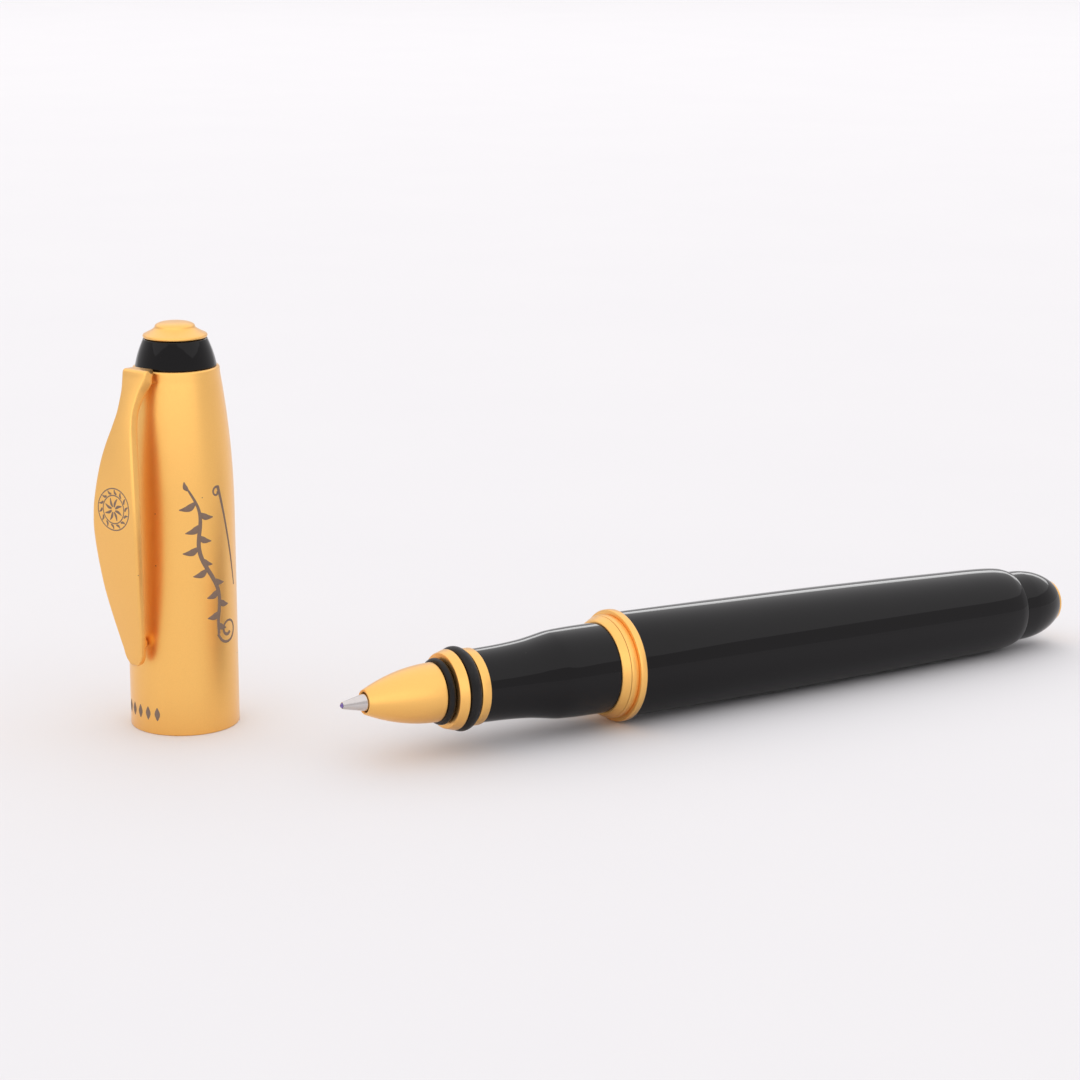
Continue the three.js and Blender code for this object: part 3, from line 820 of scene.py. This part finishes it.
def cap_shell():
    top = shell.rear
    plate = 2.3
    bore_drop = 1.29     # how much narrower the bore is above the liner
    upper_bore = liner.outer - bore_drop
    crown_hole = 3.56    # radius of the hole for the crown's spigot
    cut = spun([
        (0, liner.outer + GAP),
        (0, shell_outline[0][1], 0.16),
        *shell_outline[1:-1],
        (top, shell_outline[-1][1], 0.28),
        (top, crown_hole),
        (top - plate, crown_hole),
        (top - plate, upper_bore, 0.4),
        (liner.rear + GAP, upper_bore, 0.05),
        (liner.rear + GAP, liner.outer + GAP),
    ])
    piece = to_object("cap_shell_finished", cut, CAP)
    inside = 0.45        # how far the slot reaches inwards past the tab
    depth = 1.5
    half = 1.8           # half the slot's width
    length = 5
    slot = bmesh.new()
    bmesh.ops.create_cube(slot, size=1)
    bmesh.ops.scale(slot, verts=slot.verts, vec=(length, 2 * half, 2 * depth))
    bmesh.ops.translate(slot, verts=slot.verts, vec=(tab_inner - inside + length / 2, 0, top))
    cutter = to_object("slot_cutter", slot, CAP)
    boolean = piece.modifiers.new("tab_slot", "BOOLEAN")
    boolean.operation = "DIFFERENCE"
    boolean.solver = "EXACT"
    boolean.object = cutter
    finished = bpy.data.meshes.new_from_object(
        piece.evaluated_get(bpy.context.evaluated_depsgraph_get())
    )
    piece.modifiers.clear()
    piece.data = finished
    bpy.data.objects.remove(cutter)
    add(piece, GOLD, "cap", ["cap_shell"])


def cap_liner():
    turned("cap_liner", [
        (liner.front, liner.inner + 0.3),
        (liner.front, liner.outer, 0.15),
        (liner.rear, liner.outer, 0.1),
        (liner.rear, liner.inner, 0.1),
        (liner.front + 0.8, liner.inner, 0.2),
    ], PLASTIC, "cap", CAP)


def crown_ring():
    outside = soft([point for point in crown.outline if point[0] > shell.rear], 5)
    spigot = crown.outline[0][1]
    foot = outside[0][0]
    turned("crown_ring", [
        (crown.front, crown.inner),
        (crown.front, spigot, 0.1),
        (foot, spigot),
        (*outside[0], 0.12),
        *outside[1:-1],
        (*outside[-1], 0.1),
        (crown.rear, crown.inner),
    ], LACQUER, "cap", CAP)


def finial():
    """Gold button on a rounded flange, joined by a hollow curve."""
    foot = finial_reach.front
    edge = 0.5
    neck = foot + edge
    button = 2.62
    button_height = 0.95
    dome = finial_reach.rear - neck - button_height
    rim = arc(foot + edge / 2, finial_reach.outer - edge / 2, edge / 2, 180, 20, 10)
    shelf = finial_reach.outer - 0.16
    cove = [
        (neck + button_height * s / 12, button + (shelf - button) * (1 - s / 12) ** 1.6)
        for s in range(1, 12)
    ]
    corner = neck + button_height
    top = [
        (corner + dome * math.sin(a), button * math.cos(a) ** 0.75)
        for a in [math.radians(between(0, 90, s / 14)) for s in range(15)]
    ]
    top[-1] = (finial_reach.rear, 0)
    roof = corner - 0.3
    hole = 1.3
    turned("finial", [
        (foot, finial_reach.inner + hole),
        *rim,
        *cove,
        *top,
        (roof, 0),
        (roof, hole),
    ], GOLD, "cap", CAP, closed=False)


def clip_bar():
    """The clip as a straight rounded bar: Z along it, Y across it, X its depth."""
    bar = bmesh.new()
    bmesh.ops.create_cube(bar, size=1)
    long_edges = [e for e in bar.edges if abs(e.verts[0].co.z - e.verts[1].co.z) > 0.5]
    bmesh.ops.subdivide_edges(bar, edges=long_edges, cuts=110, use_grid_fill=True)
    wide = 5.0
    long = 44.0
    bmesh.ops.scale(bar, verts=bar.verts, vec=(clip_depth, wide, long))
    outer_edges = [e for e in bar.edges if e.calc_face_angle(0) > 1]
    bmesh.ops.bevel(
        bar, geom=outer_edges, offset=0.3, affect="EDGES", segments=4, profile=0.5, material=-1,
    )
    bmesh.ops.scale(bar, verts=bar.verts, vec=(1 / clip_depth, 1 / wide, 1 / long))
    return bar


def clip_face(share):
    """Outer and inner point of the clip's middle line, and its half width, along its length."""
    bend_start = 0.12
    bend_end = 0.2
    root, root_half = clip_out[-1][1], clip_half[-1][1]
    bend = root - 0.6
    inner_bend = root - clip_depth - 0.15
    shoulder = clip_heights[-1]
    if share < bend_start:
        t = share / bend_start
        x = between(tab_inner, bend, t)
        risen = min(max((x - crown.outer - 0.1) / 0.5, 0), 1)
        level = between(tab_level, clip_top, risen * risen * (3 - 2 * risen))
        outer = Vector((x, 0, level))
        inner = Vector((between(tab_inner, inner_bend, t), 0, tab_level - tab_thickness))
        return outer, inner, between(tab_half, root_half, t)
    low = (root - clip_depth + 0.05, shoulder - 1.1)
    if share < bend_end:
        t = (share - bend_start) / (bend_end - bend_start)
        outer = corner_curve(t, (bend, clip_top), (root - 0.02, clip_top), (root, shoulder))
        start = (inner_bend, tab_level - tab_thickness)
        inner = corner_curve(t, start, (low[0], start[1]), low)
        return outer, inner, root_half
    t = (share - bend_end) / (1 - bend_end)
    height = between(shoulder, clip_tip, t)
    end = 2.3            # length of the rounded end
    end_share = min(1.0, max(height - clip_tip, 0) / end)
    round_off = max(math.sqrt(1 - (1 - end_share) ** 2), 0.16)
    half = at(clip_half, max(height, clip_tip + end)) * round_off
    outer = Vector((at(clip_out, height), 0, height))
    start = min(1, t * 8)
    thin = clip_depth - between(0.05, 0.12, start) - 0.65 * max(0, t - 0.3)
    inner = Vector((outer.x - thin, 0, height - between(1.1, 0.0, start)))
    return outer, inner, half


def corner_curve(t, start, control, stop):
    """A point on the quadratic curve from start to stop, in the clip's middle plane."""
    a, b, c = (Vector((x, 0, z)) for x, z in (start, control, stop))
    return a * (1 - t) ** 2 + b * 2 * t * (1 - t) + c * t * t


def clip():
    bar = clip_bar()
    for vert in bar.verts:
        outer, inner, half = clip_face(min(max(0.5 - vert.co.z, 0), 1))
        co = outer.lerp(inner, min(max(0.5 - vert.co.x, 0), 1))
        co.y = vert.co.y * 2 * half
        vert.co = co
    nub = bmesh.new()
    radius = 1.1
    height = clip_tip + 2.9
    bmesh.ops.create_icosphere(nub, subdivisions=4, radius=radius)
    bmesh.ops.translate(nub, verts=nub.verts, vec=(shell_radius(height) + GAP + radius, 0, height))
    join(bar, nub)
    add(to_object("clip_finished", bar, CAP), GOLD, "clip", ["clip"])


cap_shell()
cap_liner()
crown_ring()
finial()
turned_screw("cap_screw", "cap", CAP)
clip()

# ---- engraved ornament: a climbing vine on the cap, a rosette on the clip -----------------------


def strokes(name, lines, body, mapped, thickness=0.08):
    """Thin raised lines. Each is a list of points across and along a face, and half widths."""
    curve = bpy.data.curves.new(name, "CURVE")
    curve.dimensions = "3D"
    curve.bevel_depth = 1.0
    curve.bevel_resolution = 3
    curve.use_fill_caps = True
    curve.resolution_u = 8
    for points, halves in lines:
        line = curve.splines.new("NURBS")
        line.points.add(len(points) - 1)
        for i, (target, point) in enumerate(zip(line.points, points)):
            share = i / (len(points) - 1) * (len(halves) - 1)
            low = min(int(share), len(halves) - 2)
            target.co = (point[0], point[1], 0, 1)
            target.radius = between(halves[low], halves[low + 1], share - low)
        line.order_u = 3
        line.use_endpoint_u = True
    drawn = bpy.data.objects.new(name + "_curve", curve)
    bpy.context.scene.collection.objects.link(drawn)
    mesh = bpy.data.meshes.new_from_object(
        drawn.evaluated_get(bpy.context.evaluated_depsgraph_get())
    )
    bm = bmesh.new()
    bm.from_mesh(mesh)
    bpy.data.objects.remove(drawn)
    bpy.data.meshes.remove(mesh)
    for vert in bm.verts:
        lift = min(max(vert.co.z, -0.3), 0.3) / 0.3 * thickness
        vert.co = mapped(vert.co.x, vert.co.y, lift)
    add(to_object(name, bm, CAP), ENGRAVED, body)


# The vine's middle, as an angle round the cap from the clip, faces away from the clip.
vine_middle = math.radians(76)


def on_cap(across, height, lift):
    radius = shell_radius(height) + lift
    angle = vine_middle + across / shell.outer
    return Vector((radius * math.cos(angle), radius * math.sin(angle), height))


def on_clip(across, height, lift):
    return Vector((at(clip_out, height) + lift, across, height))


def leaf(x, z, turn, length, half, bend=0.16):
    """One pointed leaf, growing from a point at an angle in degrees."""
    direction = Vector((math.cos(math.radians(turn)), math.sin(math.radians(turn))))
    side = Vector((-direction.y, direction.x)) * length * bend
    start = Vector((x, z))
    points = [start + direction * length * s + side * 4 * s * (1 - s) for s in (0, 0.3, 0.6, 1)]
    return [tuple(p) for p in points], [0.1, half, half * 0.85, 0.06]


def curl(x, z, size, start, turns, half, flip=1):
    """A spiral that winds in to its centre."""
    points = []
    steps = int(turns * 14)
    for i in range(steps + 1):
        angle = math.radians(start) + flip * 2 * math.pi * turns * i / steps
        radius = size * (1 - 0.72 * i / steps)
        points.append((x + radius * math.cos(angle), z + radius * math.sin(angle)))
    return points, [half, half * 0.7, half * 1.2]


def vine():
    """A climbing stem with leaves on both sides, and tendrils."""
    stem = [(-2.9 + 0.36 * i + 0.75 * math.sin(0.85 * i), 33.2 - 1.52 * i) for i in range(14)]
    lines = [(stem, [0.14, 0.28, 0.3, 0.3, 0.22])]
    for i in range(1, 13):
        x, z = stem[i]
        if i % 2:
            lines.append(leaf(x, z, 208 - 4 * (i % 3), 2.5 - 0.05 * i, 0.5))
        else:
            lines.append(leaf(x, z, -32 + 5 * (i % 3), 2.1 - 0.03 * i, 0.45, -0.16))
    lines.append(leaf(*stem[0], 115, 1.3, 0.34))
    foot = stem[-1]
    lines.append(curl(foot[0] + 1.75, foot[1] + 0.3, 1.95, 190, 1.35, 0.2))
    tendril = [(1.5, 33.3), (2.1, 31), (3.2, 26.5), (4.1, 22.6), (4.7, 19.4)]
    lines.append((tendril, [0.26, 0.16, 0.2, 0.12]))
    lines.append(curl(1.2, 32.6, 0.75, 60, 0.9, 0.18))
    strokes("cap_vine", lines, "cap", on_cap)


def lozenge_row():
    """Small lozenges in a row above the cap's mouth."""
    middle = -11.0
    lines = []
    for i in range(5):
        x = middle + (i - 2) * 1.5
        lines.append(([(x, 1.9), (x, 2.5), (x, 3.1), (x, 3.7)], [0.05, 0.42, 0.42, 0.05]))
    strokes("cap_lozenges", lines, "cap", on_cap)


def rosette():
    """Eight petals inside two rings, in the middle of the clip's widest part."""
    height = 31.4
    lines = []
    for i in range(8):
        turn = 45 * i + 22
        across, along = math.cos(math.radians(turn)), math.sin(math.radians(turn))
        lines.append(leaf(0.35 * across, height + 0.35 * along, turn, 1.2, 0.2, 0.1))
    for radius, half in ((1.85, 0.08), (2.75, 0.08)):
        angles = [math.radians(15 * i) for i in range(25)]
        ring = [(radius * math.cos(a), height + radius * math.sin(a)) for a in angles]
        lines.append((ring, [half, half]))
    for i in range(14):
        turn = 360 * i / 14
        across, along = math.cos(math.radians(turn)), math.sin(math.radians(turn))
        lines.append(leaf(2.05 * across, height + 2.05 * along, turn + 50, 0.75, 0.17, 0.2))
    strokes("clip_rosette", lines, "clip", on_clip, 0.06)


vine()
lozenge_row()
rosette()

# ---- floor, light and camera --------------------------------------------------------------------

ahead = Vector((0.52742, 0.84961, 0))    # level direction in which the camera looks
beside = ahead.cross(up)
pen_middle = Vector(barrel_turn["pos_m"])


def table():
    bm = bmesh.new()
    bmesh.ops.create_grid(bm, x_segments=1, y_segments=1, size=6)
    floor = to_object("table", bm, Matrix.Identity(4))
    paper = Finish("pale_table", Roughness=0.9, Specular_IOR_Level=0.1)
    paper.colour(paper.blend(paper.noise(60), (0.80, 0.79, 0.80), (0.78, 0.77, 0.785)))
    floor.data.materials.append(paper.material)


def softbox(name, radiance, centre, size, glossy=True, diffuse=True, tint=(1, 1, 1)):
    """A flat light facing straight down, its centre ahead, beside and above the pen in metres."""
    lamp = bpy.data.lights.new(name, "AREA")
    lamp.shape = "RECTANGLE"
    lamp.size, lamp.size_y = size
    lamp.energy = radiance * math.pi * size[0] * size[1]
    lamp.color = tint
    light = bpy.data.objects.new(name, lamp)
    light.location = pen_middle + beside * centre[0] + ahead * centre[1] + up * centre[2]
    light.rotation_euler = (0, 0, math.atan2(beside.y, beside.x))
    light.visible_glossy = glossy
    light.visible_diffuse = diffuse
    bpy.context.scene.collection.objects.link(light)
    return light


def surroundings():
    world = bpy.data.worlds.new("studio")
    world.use_nodes = True
    world.node_tree.nodes["Background"].inputs["Color"].default_value = (1.0, 0.98, 0.995, 1)
    world.node_tree.nodes["Background"].inputs["Strength"].default_value = 0.75
    bpy.context.scene.world = world
    bpy.context.scene.view_settings.view_transform = "Standard"


def camera():
    lens = bpy.data.cameras.new("camera")
    lens.lens = 93.333
    lens.sensor_width = 36
    lens.clip_start = 0.01
    lens.clip_end = 50
    seen = bpy.data.objects.new("camera", lens)
    pitch = math.radians(13.797)
    roll = math.radians(0.205)
    heading = math.atan2(-ahead.x, ahead.y)
    turn = Matrix.Rotation(heading, 4, "Z") @ Matrix.Rotation(math.pi / 2 - pitch, 4, "X")
    place = Matrix.Translation(pen_middle + Vector((-0.19981, -0.30212, 0.10616)))
    seen.matrix_world = place @ turn @ Matrix.Rotation(roll, 4, "Z")
    bpy.context.scene.collection.objects.link(seen)
    bpy.context.scene.camera = seen


table()
softbox("overhead", 0.45, (0, 0.4, 1.0), (4.4, 3.3))
softbox("background_wash", 0.38, (0, 2.6, 1.4), (5, 3.0), glossy=False)
gloss = softbox("gloss", 2.9, (0, 1.2, 1.0), (4.4, 4.9), diffuse=False)
gloss.light_linking.receiver_collection = lacquered
front = softbox("front", 0.6, (-0.7, -1.6, 0.35), (6.4, 2.2))
front.rotation_euler = (ahead + up * 0.1).to_track_quat("-Z", "Y").to_euler()
front.light_linking.receiver_collection = bright
surroundings()
camera()
